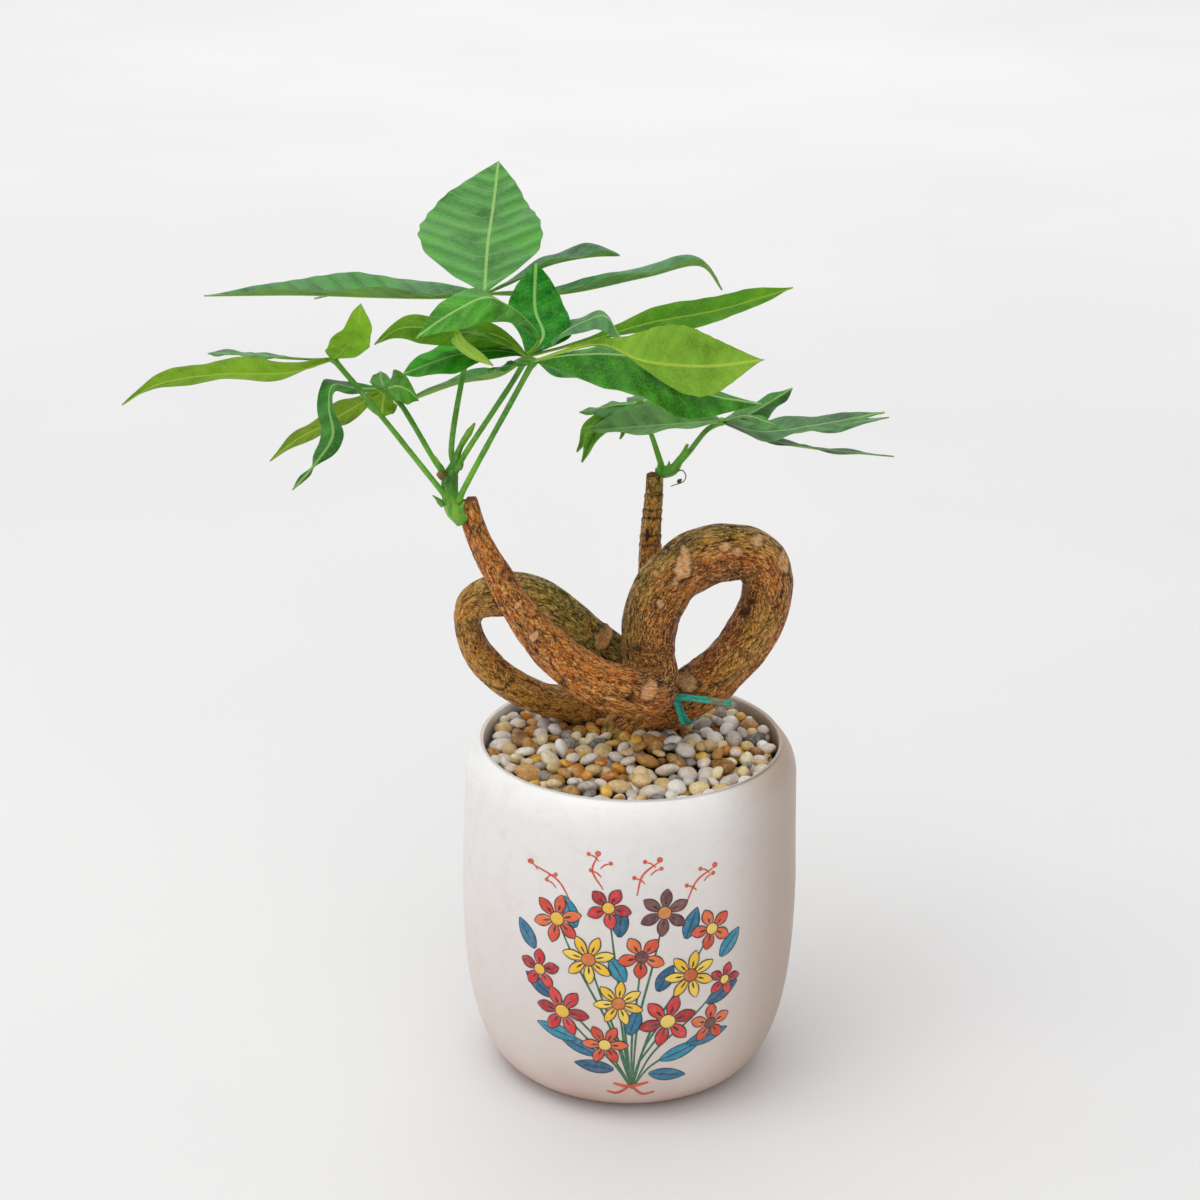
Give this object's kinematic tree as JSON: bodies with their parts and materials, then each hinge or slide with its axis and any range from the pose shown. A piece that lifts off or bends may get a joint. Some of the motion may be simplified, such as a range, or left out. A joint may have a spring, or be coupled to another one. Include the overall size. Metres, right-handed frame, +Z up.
{
  "type": "potted money tree",
  "caption": "Young money tree in a rounded ceramic pot: looped woody stems tied where they cross, pebbles over the soil, and crowns of hand-shaped leaves.",
  "frame": {"origin": "middle of the pot's foot, on the surface it stands on", "axes": "+Z up, -Y toward the front, where the stems' tie and the nearer stem are, +X to the right seen from the front"},
  "size_m": [0.2724, 0.1617, 0.3275],
  "materials": {
    "glaze": "warm white satin glaze on ceramic, opaque, with a painted flower pattern",
    "soil": "dark potting soil, matte",
    "pebbles": "smooth river pebbles, white, cream, grey and tan, opaque",
    "bark": "rough brown and olive bark with tan scars",
    "tie": "worn blue-green plastic tape",
    "shoot": "soft green bark",
    "leaf": "smooth leaf, dark glossy top and paler underside"
  },
  "bodies": {
    "root": {"pot": "glaze", "potting_soil": "soil", "pebble_bed": "pebbles", "right_loop_stem": "bark", "left_loop_stem": "bark", "plastic_tie": "tie", "left_shoot": "shoot", "right_shoot": "shoot", "left_leaf_west": "leaf", "left_leaf_drooping": "leaf", "left_leaf_top": "leaf", "left_leaf_inner": "leaf", "left_leaf_front": "leaf", "right_leaf_front": "leaf", "right_leaf_back": "leaf"}
  },
  "joints": []
}
